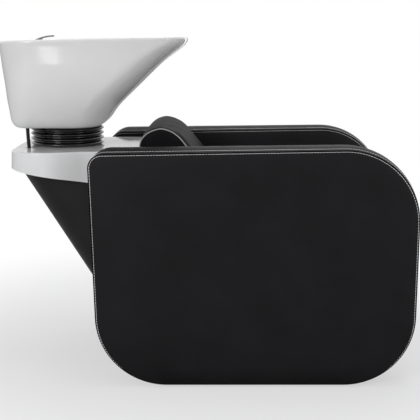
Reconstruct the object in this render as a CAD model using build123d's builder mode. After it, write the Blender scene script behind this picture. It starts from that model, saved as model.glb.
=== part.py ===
from build123d import *
from math import radians, tan
import os

os.makedirs("parts", exist_ok=True)

# Backwash unit: reclining client seat between two upholstered side panels, with a tilting
# ceramic basin on a leaning plinth behind it.
# Frame: +X towards the client's feet, +Y to the client's left, +Z up. Millimetres.
# The origin is on the floor, at the middle of the overall length and width.

# Overall sizes and common clearances
panel_gap = 484
cut_over = 5
fit_gap = 0.3
running_gap = 0.05
thread_gap = 0.15

# Side panels: seams on both faces, with a boxing that bulges between them
panel_thickness = 100
panel_length = 912
panel_front = 589.5
panel_rear_lean = 17
panel_clearance = 8
panel_top_front = 680
panel_top_rear = 665
seam_crown = 9
front_crown_share = 0.85
rear_crown_share = 0.25
top_rear_crown_factor = 3
panel_top_rear_radius = 38
panel_top_front_radius = 206
panel_bottom_front_radius = 198
panel_bottom_rear_radius = 200
# distance from the middle as a share of half the thickness, and swell as a share of the crown
crown_shares = [(1, 0), (0.85, 0.28), (0.60, 0.64), (0.30, 0.91), (0, 1)]

# Plywood core in each panel
core_thickness = 40
core_inset = 25
core_top_front_radius = 180

# Glides under the cores
glide_radius = 17
glide_stem_radius = 4
glide_stem_length = 20
glide_rear_inset = 261
glide_spacing = 410

# Cross tubes between the panels
tube_size = 40
tube_wall = 3
tube_top = 358
end_plate_size = 82
end_plate_thickness = 5
middle_tube_x = 130
front_tube_x = 500
frame_bolt_radius = 4
frame_bolt_grip = 20
frame_bolt_head = 7
frame_bolt_head_height = 5.5
frame_bolt_spacing = 60

# Seat
seat_board_thickness = 18
seat_board_side_gap = 12
seat_board_front = 560
seat_cushion_front = 564
seat_cushion_half_width = 236
seat_cushion_height = 76
seat_cushion_corner = 45
# height share and outline inset share of the cushion, from its foot to its crown
seat_section_shares = [(0, 0.10), (0.12, 0.03), (0.40, 0), (0.68, 0.02), (0.88, 0.14), (0.97, 0.42), (1, 0.95)]
apron_thickness = 20
apron_bottom = 30
apron_edge = 6
apron_side_gap = 4

# Backrest
back_rear = -195
back_half_width = 205
back_crown = 3
back_board_thickness = 16
back_board_top = 655
back_board_half_width = 199
back_arch_spring = 680
back_arch_top = 726
back_arch_rear_mid = (16, 705)
back_arch_top_run = 64
back_front_mid_1 = (106, 711.5)
back_front_end_1 = (141, 674)
back_front_mid_2 = (202, 600)
back_front_end_2 = (262, 470)
# distance from the middle as a share of half the width, and swell as a share of the crown
back_crown_shares = [(1, 0), (0.96, 0.35), (0.80, 0.75), (0.45, 0.95), (0, 1)]

# Basin: outer shell from its underside to the rim
basin_rear = -600
basin_length = 546
basin_width = 500
basin_bottom = 716
basin_depth = 264
basin_rim_rear = 967.5
basin_rim_middle = 976
basin_rim_front = 980
basin_rim_radius = 6
basin_bow = 6
basin_bow_fit_share = 0.9
# height, rear edge, front edge, half width, rear corner and front corner, each a share of
# the depth, the length or half the width
basin_outer_shares = [
    (0.000, 0.078, 0.488, 0.512, 0.184, 0.248),
    (0.023, 0.055, 0.530, 0.588, 0.232, 0.280),
    (0.072, 0.0435, 0.556, 0.652, 0.264, 0.304),
    (0.167, 0.0395, 0.588, 0.736, 0.304, 0.328),
    (0.303, 0.0345, 0.650, 0.828, 0.344, 0.352),
    (0.485, 0.0293, 0.742, 0.912, 0.388, 0.368),
    (0.663, 0.0190, 0.8355, 0.960, 0.428, 0.376),
    (0.837, 0.0085, 0.9405, 0.990, 0.460, 0.368),
    (0.924, 0.0035, 0.989, 1.000, 0.472, 0.352),
    (1.019, 0.000, 0.994, 1.004, 0.480, 0.344),
]
# the bowl below the tap deck, in the same shares
bowl_shares = [
    (0.083, 0.282, 0.446, 0.248, 0.136, 0.160),
    (0.106, 0.267, 0.483, 0.368, 0.176, 0.224),
    (0.174, 0.258, 0.526, 0.560, 0.240, 0.296),
    (0.318, 0.253, 0.603, 0.720, 0.280, 0.320),
    (0.508, 0.249, 0.702, 0.832, 0.320, 0.336),
    (0.716, 0.247, 0.811, 0.904, 0.344, 0.336),
]
# the wide upper part of the bowl, from the tap deck to above the rim, in the same shares
upper_bowl_shares = [
    (0.716, 0.040, 0.811, 0.904, 0.400, 0.336),
    (0.886, 0.034, 0.908, 0.936, 0.408, 0.324),
    (1.060, 0.028, 0.950, 0.948, 0.416, 0.312),
]
# the open hollow below the deck, in the same shares
hollow_shares = [(-0.020, 0.098, 0.225, 0.456, 0.10, 0.10), (0.659, 0.060, 0.225, 0.600, 0.12, 0.10)]
neck_radius = 78
neck_depth = 58

# Waste fitting
drain_place_share = 5 / 14
drain_flange_radius = 36
drain_flange_thickness = 2.5
drain_tail_radius = 20
drain_tail_bore = 18
drain_tail_bottom = 664
drain_recess_radius = 28.5
drain_recess_depth = 1.5
drain_clearance = 2
waste_nut_radius = 32
waste_nut_height = 10
strainer_radius = 28
strainer_cup_radius = 17
strainer_cup_depth = 14
strainer_wall = 1.5
strainer_hole_radius = 2.6
strainer_hole_circle = 10.5
strainer_hole_count = 8
strainer_knob_radius = 4
strainer_knob_height = 6

# Tilt mechanism under the basin
tilt_x = -426.5
tilt_z = 684
cradle_radius = 88
cradle_thickness = 4
gasket_thickness = 2
gasket_inset = 4
cradle_ear_inner = 65
ear_thickness = 6
ear_radius = 18
washer_thickness = 0.8
washer_radius = 16
pivot_radius = 6
pivot_head_radius = 10
pivot_head_height = 7
pivot_nut_height = 8
pivot_tail = 3
notch_half_width = 17
notch_front = -484
cradle_bolt_radius = 4
cradle_bolt_head = 6.5
cradle_bolt_head_height = 5
cradle_bolt_depth = 12
cradle_bolt_y = 61
cradle_bolt_rear_x = -456
cradle_bolt_front_x = -397
bracket_half_length = 45
bracket_half_width = 78
bracket_thickness = 4
bracket_hole_radius = 34
bracket_bolt_x = 36
bracket_bolt_y = 54
bracket_bolt_radius = 3
bracket_bolt_head = 5.5
bracket_bolt_head_height = 4

# Head plate and posts of the plinth
head_plate_rear = -520
head_plate_front = -365
head_plate_half_width = 125
head_plate_top = 642
head_plate_thickness = 8
head_plate_corner = 20
head_window_rear = -514
head_window_front = -482
head_window_half_width = 45
post_foot_x = -128
post_head_x = -410
post_y = 95
post_depth = 54
post_width = 30
post_wall = 3

# Floor plate
floor_plate_rear = -225
floor_plate_front = 45
floor_plate_half_width = 205
floor_plate_thickness = 6
floor_plate_corner = 12
anchor_hole_radius = 5.5
anchor_inset = 20
service_x = -150
service_half_length = 30
service_half_width = 56

# Shroud of the plinth, a leaning shell
shroud_wall = 3.5
shroud_half_width = 188
shroud_top = 612
shroud_top_rear = -558.9
shroud_foot_rear = -181.9
shroud_front = -206
shroud_knee = 300
shroud_foot_front = -30
shroud_rear_radius = 85
shroud_front_radius = 12

# Collar, the moulded top cover of the plinth
collar_top = 656
collar_wall = 4
collar_rear = -573
collar_half_width = 229
collar_waist_half_width = 200
collar_shoulder_x = -440
collar_waist_x = -350
collar_bow = 6
collar_flare = 5
collar_skirt_rear = 605
collar_skirt_front = 543
collar_skirt_low = 540
collar_edge_radius = 5
collar_rear_radius = 98
collar_shoulder_radius = 150
collar_waist_radius = 150
collar_front_radius = 8
collar_opening_radius = 92
grommet_radius = 8.8
grommet_height = 4

# Bellows between the collar and the cradle
bellows_wall = 2.2
bellows_cuff_radius = 102
bellows_cuff_height = 17.5
bellows_valley_radius = 97
bellows_peak_radius = 110
bellows_pitch = 11.8
bellows_count = 3
bellows_fold_radius = 1.6

# Mixer on the tap deck
mixer_x = -501
mixer_flange_radius = 26
mixer_flange_height = 4
mixer_column_radius = 19
mixer_column_foot_radius = 22
mixer_column_waist_radius = 18
mixer_ball_radius = 19
mixer_ball_z = 952
mixer_ball_foot = 937
mixer_column_top = 936.7
mixer_shank_radius = 16
mixer_shank_length = 28
shank_clearance = 1
mixer_nut_radius = 22
mixer_nut_height = 9
hood_thickness = 2.7
hood_rim = 6
blade_rear = (-25, 14)
blade_middle = (4, 27)
blade_tip = (42, 33)
blade_width = 17
blade_thickness = 4.6

# Spray handset in its bush at the client's right of the deck
spray_x = -529
spray_side_share = 0.416
bush_flange_radius = 24
bush_flange_height = 4
bush_sleeve_radius = 18.7
bush_sleeve_length = 22
bush_bore = 15.8
spray_handle_radius = 15.4
spray_handle_foot_radius = 11
spray_handle_foot = 842
spray_head_radius = 24
spray_head_z = 938
spray_face_radius = 19
spray_face_thickness = 3
spray_face_tilt = 25
spray_face_reach = 17
hose_nut_radius = 8
hose_nut_height = 12
spray_hose_radius = 5.25
spray_hose_break = 735

# Supply and waste hoses inside the plinth, with the routes that they follow
supply_hose_radius = 4.5
waste_hose_radius = 17.5
waste_hose_bore = 15
bend_share = 0.45
spray_hose_route = [
    (-529, -104, 734.7), (-526.8, -104, 612), (-500, -102, 545), (-418, -98, 415), (-418, -6, 415),
    (-462, -2, 505), (-506, 0, 600), (-508, 0, 735), (-506, 0, 876.7),
]
supply_hose_route = [
    (-150, 42, 105.3), (-150, 42, 150), (-190, 41, 225), (-262, 39, 320), (-335, 37, 415),
    (-405, 34, 505), (-470, 24, 585), (-496, 9.5, 655), (-498, 9.5, 765), (-496, 9.5, 876.7),
]
waste_hose_route = [
    (-405, 0, 680), (-405, 0, 580), (-372, 0, 490), (-315, 0, 395), (-245, 0, 295),
    (-178, 0, 205), (-150, 0, 145), (-150, 0, 90),
]

# Connections at the foot of the plinth
bracket_top = 63
bracket_plate_thickness = 3
bracket_plate_half_length = 24
bracket_plate_half_width = 62
inlet_y = 42
inlet_radius = 10.5
inlet_bore = 7
inlet_top = 80
inlet_hex_radius = 14
inlet_hex_height = 10
ferrule_radius = 8
ferrule_height = 25
outlet_radius = 20
outlet_bore = 18
outlet_collar_radius = 24
outlet_top = 108

# Bosses that carry the collar on the head plate, and the stem of the tap lever
collar_boss_radius = 8
collar_boss_inset = 14
lever_stem_radius = 7

# Places worked out from the sizes above
half_gap = panel_gap / 2
half_thickness = panel_thickness / 2
panel_middle = half_gap + half_thickness
panel_rear = panel_front - panel_length
basin_half_width = basin_width / 2
drain_x = basin_rear + drain_place_share * basin_length
spray_y = -spray_side_share * basin_half_width
deck_z = basin_bottom + basin_depth * bowl_shares[-1][0]
bowl_floor = basin_bottom + basin_depth * bowl_shares[0][0]
cradle_top = basin_bottom - gasket_thickness
cradle_bottom = cradle_top - cradle_thickness
cradle_ear_outer = cradle_ear_inner + ear_thickness
bracket_ear_outer = bracket_half_width
bracket_ear_inner = bracket_half_width - ear_thickness
bracket_base_top = head_plate_top + bracket_thickness
pipe_collar_z = bracket_top - bracket_plate_thickness - inlet_hex_height
tube_z = tube_top - tube_size / 2
seat_board_top = tube_top + seat_board_thickness
back_board_front = back_rear + back_board_thickness
rear_tube_x = back_board_front + tube_size / 2
apron_rear = front_tube_x + tube_size / 2
seat_cushion_rear = back_rear + back_front_end_2[0] + fit_gap
deck_underside = basin_bottom + basin_depth * hollow_shares[-1][0]
glide_xs = (panel_rear + glide_rear_inset, panel_rear + glide_rear_inset + glide_spacing)
grommet_share = (spray_hose_route[0][2] - collar_top + collar_wall / 2) / (
    spray_hose_route[0][2] - spray_hose_route[1][2]
)
grommet_x = spray_hose_route[0][0] + grommet_share * (spray_hose_route[1][0] - spray_hose_route[0][0])
collar_boss_places = [
    (x, y)
    for x in (head_plate_rear + collar_boss_inset, head_plate_front - collar_boss_inset)
    for y in (collar_boss_inset - head_plate_half_width, head_plate_half_width - collar_boss_inset)
]
blade_points = [(mixer_x + x, mixer_ball_z + z) for x, z in (blade_rear, blade_middle, blade_tip)]
spray_neck_z = deck_z + 3 * bush_flange_height
spray_face_plane = Plane(
    origin=(spray_x + spray_face_reach, spray_y, spray_head_z),
    z_dir=Vector(1, 0, tan(radians(spray_face_tilt))),
)
strainer_seat = bowl_floor + drain_flange_thickness - drain_recess_depth
cradle_bolt_places = [
    (x, y) for x in (cradle_bolt_rear_x, cradle_bolt_front_x) for y in (-cradle_bolt_y, cradle_bolt_y)
]
tube_xs = {"rear": rear_tube_x, "middle": middle_tube_x, "front": front_tube_x}
sides = {"right": -1, "left": 1}


def panel_points(grow):
    """Corners of a panel's outline in the XZ plane, swelled by grow at the top and less at its ends."""
    rear = panel_rear - rear_crown_share * grow
    front = panel_front + front_crown_share * grow
    return [
        (rear, panel_top_rear + grow),
        (front, panel_top_front + grow),
        (front, panel_clearance),
        (rear + panel_rear_lean, panel_clearance),
    ]


def panel_radii(grow):
    return [
        panel_top_rear_radius + top_rear_crown_factor * grow,
        panel_top_front_radius + grow,
        panel_bottom_front_radius + grow,
        panel_bottom_rear_radius + grow,
    ]


def core_points():
    """Corners of the plywood core, which reaches the panel's foot where that is flat."""
    rear = panel_rear + core_inset
    front = panel_front - core_inset
    return [
        (rear, panel_top_rear - core_inset),
        (front, panel_top_front - core_inset),
        (front, panel_clearance + panel_bottom_front_radius),
        (panel_front - panel_bottom_front_radius, panel_clearance),
        (panel_rear + panel_rear_lean + panel_bottom_rear_radius, panel_clearance),
        (rear + panel_rear_lean, panel_clearance + panel_bottom_rear_radius),
    ]


def mirrored(shares):
    """A table from the edge to the middle, followed by its other half."""
    return shares + [(-place, swell) for place, swell in reversed(shares[:-1])]


def back_line(swell):
    """Side profile of the backrest cushion, inside a BuildLine block."""
    foot = seat_board_top + fit_gap
    top = back_arch_top + swell
    front_end = (back_rear + back_front_end_2[0], back_front_end_2[1])
    arch_end = (back_rear + back_front_end_1[0] + swell, back_front_end_1[1] + swell)
    Polyline(
        front_end,
        (front_end[0], foot),
        (back_board_front + fit_gap, foot),
        (back_board_front + fit_gap, back_board_top + fit_gap),
        (back_rear, back_board_top + fit_gap),
        (back_rear, back_arch_spring),
    )
    ThreePointArc(
        (back_rear, back_arch_spring),
        (back_rear + back_arch_rear_mid[0], back_arch_rear_mid[1] + swell),
        (back_rear + back_arch_top_run, top),
    )
    ThreePointArc(
        (back_rear + back_arch_top_run, top),
        (back_rear + back_front_mid_1[0] + swell / 2, back_front_mid_1[1] + swell),
        arch_end,
    )
    ThreePointArc(
        arch_end,
        (back_rear + back_front_mid_2[0] + swell, back_front_mid_2[1] + swell / 2),
        front_end,
    )


def basin_outline(shares):
    """Corners and radii of the basin's outline at one height, its two ends bowed outwards."""
    height, rear_share, front_share, width_share, rear_corner, front_corner = shares
    rear = basin_rear + rear_share * basin_length
    front = basin_rear + front_share * basin_length
    half = width_share * basin_half_width
    rear_radius = rear_corner * basin_half_width
    front_radius = front_corner * basin_half_width
    bow = basin_bow * width_share
    bow_slope = bow / half
    rear_bow_radius = basin_bow_fit_share * (half - rear_radius) / bow_slope
    front_bow_radius = basin_bow_fit_share * (half - front_radius) / bow_slope
    points = [
        (rear, 0),
        (rear + bow, half),
        (front - bow, half),
        (front, 0),
        (front - bow, -half),
        (rear + bow, -half),
    ]
    radii = [
        rear_bow_radius,
        rear_radius,
        front_radius,
        front_bow_radius,
        front_radius,
        rear_radius,
    ]
    return points, radii


def basin_plane(shares):
    return Plane.XY.offset(basin_bottom + shares[0] * basin_depth)


def collar_points(grow, front):
    """Plan outline of the collar: a wide rounded tail and a waist that passes the panels."""
    rear = collar_rear - grow
    half = collar_half_width + grow
    waist = collar_waist_half_width + grow
    return [
        (rear, 0),
        (rear + collar_bow, half),
        (collar_shoulder_x, half),
        (collar_waist_x, waist),
        (front, waist),
        (front, -waist),
        (collar_waist_x, -waist),
        (collar_shoulder_x, -half),
        (rear + collar_bow, -half),
    ]


def collar_radii():
    bow_radius = (collar_half_width - collar_rear_radius) * basin_bow_fit_share
    bow_radius = bow_radius * collar_half_width / collar_bow
    return [
        bow_radius,
        collar_rear_radius,
        collar_shoulder_radius,
        collar_waist_radius,
        collar_front_radius,
        collar_front_radius,
        collar_waist_radius,
        collar_shoulder_radius,
        collar_rear_radius,
    ]


def bend_radii(points):
    """Radius at each inner point of a hose route, as large as its two runs allow."""
    radii = []
    for before, here, after in zip(points, points[1:], points[2:]):
        run_in = Vector(*here) - Vector(*before)
        run_out = Vector(*after) - Vector(*here)
        half_turn = radians(run_in.get_angle(run_out)) / 2
        radii.append(bend_share * min(run_in.length, run_out.length) / tan(half_turn))
    return radii


def hose_profile_plane(points):
    return Plane(origin=points[0], z_dir=Vector(*points[1]) - Vector(*points[0]))


# Side panels, each a foam and cover skin over a plywood core on two glides
for side, sign in sides.items():
    middle = sign * panel_middle

    with BuildPart() as panel_upholstery:
        for place, swell in mirrored(crown_shares):
            with BuildSketch(Plane.XZ.offset(-(middle + place * half_thickness))):
                with BuildLine():
                    grow = swell * seam_crown
                    FilletPolyline(*panel_points(grow), radius=panel_radii(grow), close=True)
                make_face()
        loft()
        with BuildSketch(Plane.XZ.offset(-middle)):
            with BuildLine():
                FilletPolyline(
                    *core_points(),
                    radius=[panel_top_rear_radius / 2, core_top_front_radius, 0, 0, 0, 0],
                    close=True,
                )
            make_face()
        extrude(amount=core_thickness / 2, both=True, mode=Mode.SUBTRACT)
        with BuildSketch(Plane.XZ.offset(-sign * half_gap)):
            for tube_x in tube_xs.values():
                with Locations((tube_x, tube_z)):
                    with GridLocations(0, frame_bolt_spacing, 1, 2):
                        Circle(frame_bolt_radius + fit_gap)
        extrude(amount=-sign * half_thickness, mode=Mode.SUBTRACT)
    panel_upholstery.part.label = f"{side}_panel_upholstery"
    export_step(panel_upholstery.part, f"parts/{side}_panel_upholstery.step")

    with BuildPart() as panel_core:
        with BuildSketch(Plane.XZ.offset(-middle)):
            with BuildLine():
                FilletPolyline(
                    *core_points(),
                    radius=[panel_top_rear_radius / 2, core_top_front_radius, 0, 0, 0, 0],
                    close=True,
                )
            make_face()
        extrude(amount=core_thickness / 2, both=True)
        with BuildSketch(Plane.XY.offset(panel_clearance)):
            for glide_x in glide_xs:
                with Locations((glide_x, middle)):
                    Circle(glide_stem_radius)
        extrude(amount=glide_stem_length, mode=Mode.SUBTRACT)
        with BuildSketch(Plane.XZ.offset(-sign * (panel_middle - core_thickness / 2))):
            for tube_x in tube_xs.values():
                with Locations((tube_x, tube_z)):
                    with GridLocations(0, frame_bolt_spacing, 1, 2):
                        Circle(frame_bolt_radius)
        extrude(amount=-sign * frame_bolt_grip, mode=Mode.SUBTRACT)
    panel_core.part.label = f"{side}_panel_core"
    export_step(panel_core.part, f"parts/{side}_panel_core.step")

    with BuildPart() as glides:
        with BuildSketch():
            for glide_x in glide_xs:
                with Locations((glide_x, middle)):
                    Circle(glide_radius)
        extrude(amount=panel_clearance)
        fillet(glides.faces().group_by(Axis.Z)[0].edges(), panel_clearance / 4)
        with BuildSketch(Plane.XY.offset(panel_clearance)):
            for glide_x in glide_xs:
                with Locations((glide_x, middle)):
                    Circle(glide_stem_radius)
        extrude(amount=glide_stem_length)
    glides.part.label = f"{side}_glides"
    export_step(glides.part, f"parts/{side}_glides.step")

# Three cross tubes with an end plate at each panel
for place_name, tube_x in tube_xs.items():
    with BuildPart() as cross_tube:
        with BuildSketch(Plane.XZ):
            with Locations((tube_x, tube_z)):
                RectangleRounded(tube_size, tube_size, tube_wall)
                Rectangle(tube_size - 2 * tube_wall, tube_size - 2 * tube_wall, mode=Mode.SUBTRACT)
        extrude(amount=half_gap - end_plate_thickness, both=True)
        for sign in sides.values():
            with BuildSketch(Plane.XZ.offset(-sign * (half_gap - end_plate_thickness))):
                with Locations((tube_x, tube_z)):
                    Rectangle(tube_size, end_plate_size)
                    with GridLocations(0, frame_bolt_spacing, 1, 2):
                        Circle(frame_bolt_radius + fit_gap, mode=Mode.SUBTRACT)
            extrude(amount=-sign * end_plate_thickness)
    cross_tube.part.label = f"{place_name}_cross_tube"
    export_step(cross_tube.part, f"parts/{place_name}_cross_tube.step")

# Bolts from the end plates through the foam into the cores
with BuildPart() as frame_bolts:
    for sign in sides.values():
        for tube_x in tube_xs.values():
            with BuildSketch(Plane.XZ.offset(-sign * (half_gap - end_plate_thickness))):
                with Locations((tube_x, tube_z)):
                    with GridLocations(0, frame_bolt_spacing, 1, 2):
                        RegularPolygon(frame_bolt_head, 6)
            extrude(amount=sign * frame_bolt_head_height)
            with BuildSketch(Plane.XZ.offset(-sign * (half_gap - end_plate_thickness))):
                with Locations((tube_x, tube_z)):
                    with GridLocations(0, frame_bolt_spacing, 1, 2):
                        Circle(frame_bolt_radius)
            extrude(amount=-sign * (end_plate_thickness + half_thickness - core_thickness / 2 + frame_bolt_grip))
frame_bolts.part.label = "frame_bolts"
export_step(frame_bolts.part, "parts/frame_bolts.step")

# Seat board on the three tubes
with BuildPart() as seat_board:
    with BuildSketch(Plane.XY.offset(tube_top)):
        with Locations(((back_board_front + fit_gap + seat_board_front) / 2, 0)):
            Rectangle(
                seat_board_front - back_board_front - fit_gap,
                panel_gap - 2 * seat_board_side_gap,
            )
    extrude(amount=seat_board_thickness)
    fillet(seat_board.edges().filter_by(Axis.Z), seat_board_thickness)
seat_board.part.label = "seat_board"
export_step(seat_board.part, "parts/seat_board.step")

# Seat cushion with drawn-in sides and a crowned top
with BuildPart() as seat_cushion:
    for height_share, inset_share in seat_section_shares:
        inset = inset_share * seat_cushion_corner
        with BuildSketch(Plane.XY.offset(seat_board_top + fit_gap + height_share * seat_cushion_height)):
            with Locations(((seat_cushion_rear + seat_cushion_front) / 2, 0)):
                RectangleRounded(
                    seat_cushion_front - seat_cushion_rear - 2 * inset,
                    2 * (seat_cushion_half_width - inset),
                    seat_cushion_corner - inset / 2,
                )
    loft()
seat_cushion.part.label = "seat_cushion"
export_step(seat_cushion.part, "parts/seat_cushion.step")

# Padded apron that closes the front below the seat
with BuildPart() as front_apron:
    with BuildSketch(Plane.YZ.offset(apron_rear)):
        with Locations((0, (apron_bottom + tube_top) / 2)):
            RectangleRounded(
                panel_gap - 2 * apron_side_gap,
                tube_top - fit_gap - apron_bottom,
                apron_thickness,
            )
    extrude(amount=apron_thickness)
    fillet(front_apron.faces().sort_by(Axis.X)[-1].edges(), apron_edge)
front_apron.part.label = "front_apron"
export_step(front_apron.part, "parts/front_apron.step")

# Back board, upright against the rear tube
with BuildPart() as back_board:
    with BuildSketch(Plane.YZ.offset(back_rear)):
        with Locations((0, (tube_top - tube_size + back_board_top) / 2)):
            RectangleRounded(
                2 * back_board_half_width,
                back_board_top - tube_top + tube_size,
                back_board_thickness,
            )
    extrude(amount=back_board_thickness)
back_board.part.label = "back_board"
export_step(back_board.part, "parts/back_board.step")

# Backrest cushion, an arched wedge that folds over the board's top edge
with BuildPart() as back_cushion:
    for place, swell in mirrored(back_crown_shares):
        with BuildSketch(Plane.XZ.offset(-place * back_half_width)):
            with BuildLine():
                back_line(swell * back_crown)
            make_face()
    loft()
back_cushion.part.label = "back_cushion"
export_step(back_cushion.part, "parts/back_cushion.step")

# Basin: lofted ceramic shell with a bowl, a sunken tap deck, a neck rest and a hollow
with BuildPart() as basin:
    for shares in basin_outer_shares:
        with BuildSketch(basin_plane(shares)):
            with BuildLine():
                corners, radii = basin_outline(shares)
                FilletPolyline(*corners, radius=radii, close=True)
            make_face()
    loft()
    with BuildSketch(Plane.XZ):
        with BuildLine():
            rim_line = ThreePointArc(
                (basin_rear - cut_over, basin_rim_rear),
                (basin_rear + basin_length / 2, basin_rim_middle),
                (basin_rear + basin_length + cut_over, basin_rim_front),
            )
            Polyline(
                rim_line @ 1,
                (basin_rear + basin_length + cut_over, basin_bottom + 2 * basin_depth),
                (basin_rear - cut_over, basin_bottom + 2 * basin_depth),
                rim_line @ 0,
            )
        make_face()
    extrude(amount=basin_width, both=True, mode=Mode.SUBTRACT)
    for shares in upper_bowl_shares:
        with BuildSketch(basin_plane(shares)):
            with BuildLine():
                corners, radii = basin_outline(shares)
                FilletPolyline(*corners, radius=radii, close=True)
            make_face()
    loft(mode=Mode.SUBTRACT)
    for shares in bowl_shares:
        with BuildSketch(basin_plane(shares)):
            with BuildLine():
                corners, radii = basin_outline(shares)
                FilletPolyline(*corners, radius=radii, close=True)
            make_face()
    loft(mode=Mode.SUBTRACT)
    for shares in hollow_shares:
        with BuildSketch(basin_plane(shares)):
            with BuildLine():
                corners, radii = basin_outline(shares)
                FilletPolyline(*corners, radius=radii, close=True)
            make_face()
    loft(mode=Mode.SUBTRACT)
    with BuildSketch(Plane.YZ.offset(drain_x + basin_length / 4)):
        with Locations((0, basin_rim_front - neck_depth + neck_radius)):
            Circle(neck_radius)
    extrude(amount=basin_length / 2, mode=Mode.SUBTRACT)
    rim_edges = basin.faces().sort_by(Axis.Z)[-1].edges()
    neck_edges = basin.faces().filter_by(GeomType.CYLINDER).sort_by(Axis.X)[-1].edges()
    fillet(rim_edges + neck_edges, basin_rim_radius)
    with BuildSketch(Plane.XY.offset(deck_z)):
        with Locations((mixer_x, 0)):
            Circle(mixer_shank_radius + shank_clearance)
        with Locations((spray_x, spray_y)):
            Circle(bush_sleeve_radius + fit_gap)
    extrude(amount=2 * (deck_underside - deck_z), mode=Mode.SUBTRACT)
    with BuildSketch(Plane.XY.offset(bowl_floor)):
        with Locations((drain_x, 0)):
            Circle(drain_tail_radius + drain_clearance)
    extrude(amount=basin_bottom - bowl_floor, mode=Mode.SUBTRACT)
    with BuildSketch(Plane.XY.offset(basin_bottom)):
        with Locations(*cradle_bolt_places):
            Circle(cradle_bolt_radius + thread_gap)
    extrude(amount=cradle_bolt_depth, mode=Mode.SUBTRACT)
basin.part.label = "basin"
export_step(basin.part, "parts/basin.step")

# Rubber ring between the basin and its steel cradle
with BuildPart() as basin_gasket:
    with BuildSketch(Plane.XY.offset(cradle_top)):
        with Locations((tilt_x, 0)):
            Circle(cradle_radius - gasket_inset)
        with Locations((drain_x, 0)):
            Circle(drain_tail_radius + drain_clearance, mode=Mode.SUBTRACT)
        with Locations(*cradle_bolt_places):
            Circle(cradle_bolt_radius + thread_gap, mode=Mode.SUBTRACT)
        with Locations((notch_front, 0)):
            Rectangle(cradle_radius, panel_gap, align=(Align.MAX, Align.CENTER), mode=Mode.SUBTRACT)
    extrude(amount=gasket_thickness)
basin_gasket.part.label = "basin_gasket"
export_step(basin_gasket.part, "parts/basin_gasket.step")

# Steel cradle below the basin, with an ear at each side of the pivot
with BuildPart() as tilt_cradle:
    with BuildSketch(Plane.XY.offset(cradle_bottom)):
        with Locations((tilt_x, 0)):
            Circle(cradle_radius)
        with Locations((drain_x, 0)):
            Circle(drain_tail_radius + drain_clearance, mode=Mode.SUBTRACT)
        with Locations(*cradle_bolt_places):
            Circle(cradle_bolt_radius + fit_gap, mode=Mode.SUBTRACT)
        with Locations((notch_front, 0)):
            Rectangle(
                cradle_radius,
                2 * notch_half_width,
                align=(Align.MAX, Align.CENTER),
                mode=Mode.SUBTRACT,
            )
    extrude(amount=cradle_thickness)
    for sign in sides.values():
        with BuildSketch(Plane.XZ.offset(-sign * cradle_ear_inner)):
            with Locations((tilt_x, tilt_z)):
                Circle(ear_radius)
                Rectangle(2 * ear_radius, cradle_bottom - tilt_z, align=(Align.CENTER, Align.MIN))
                Circle(pivot_radius + running_gap, mode=Mode.SUBTRACT)
        extrude(amount=-sign * ear_thickness)
tilt_cradle.part.label = "tilt_cradle"
export_step(tilt_cradle.part, "parts/tilt_cradle.step")

# Four bolts that clamp the cradle to the basin
with BuildPart() as cradle_bolts:
    with BuildSketch(Plane.XY.offset(cradle_bottom)):
        with Locations(*cradle_bolt_places):
            RegularPolygon(cradle_bolt_head, 6)
    extrude(amount=-cradle_bolt_head_height)
    with BuildSketch(Plane.XY.offset(cradle_bottom)):
        with Locations(*cradle_bolt_places):
            Circle(cradle_bolt_radius)
    extrude(amount=cradle_thickness + gasket_thickness + cradle_bolt_depth)
cradle_bolts.part.label = "cradle_bolts"
export_step(cradle_bolts.part, "parts/cradle_bolts.step")

# Waste flange with its tail, clamped by a nut below the cradle
with BuildPart() as waste_flange:
    with BuildSketch(Plane.XY.offset(bowl_floor)):
        with Locations((drain_x, 0)):
            Circle(drain_flange_radius)
    extrude(amount=drain_flange_thickness)
    fillet(waste_flange.faces().sort_by(Axis.Z)[-1].edges(), drain_flange_thickness / 2)
    with BuildSketch(Plane.XY.offset(bowl_floor + drain_flange_thickness)):
        with Locations((drain_x, 0)):
            Circle(drain_recess_radius)
    extrude(amount=-drain_recess_depth, mode=Mode.SUBTRACT)
    with BuildSketch(Plane.XY.offset(bowl_floor)):
        with Locations((drain_x, 0)):
            Circle(drain_tail_radius)
    extrude(amount=drain_tail_bottom - bowl_floor)
    with BuildSketch(Plane.XY.offset(drain_tail_bottom)):
        with Locations((drain_x, 0)):
            Circle(drain_tail_bore)
    extrude(amount=basin_depth, mode=Mode.SUBTRACT)
waste_flange.part.label = "waste_flange"
export_step(waste_flange.part, "parts/waste_flange.step")

with BuildPart() as waste_nut:
    with BuildSketch(Plane.XY.offset(cradle_bottom)):
        with Locations((drain_x, 0)):
            RegularPolygon(waste_nut_radius, 8)
            Circle(drain_tail_radius + thread_gap, mode=Mode.SUBTRACT)
    extrude(amount=-waste_nut_height)
waste_nut.part.label = "waste_nut"
export_step(waste_nut.part, "parts/waste_nut.step")

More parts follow.
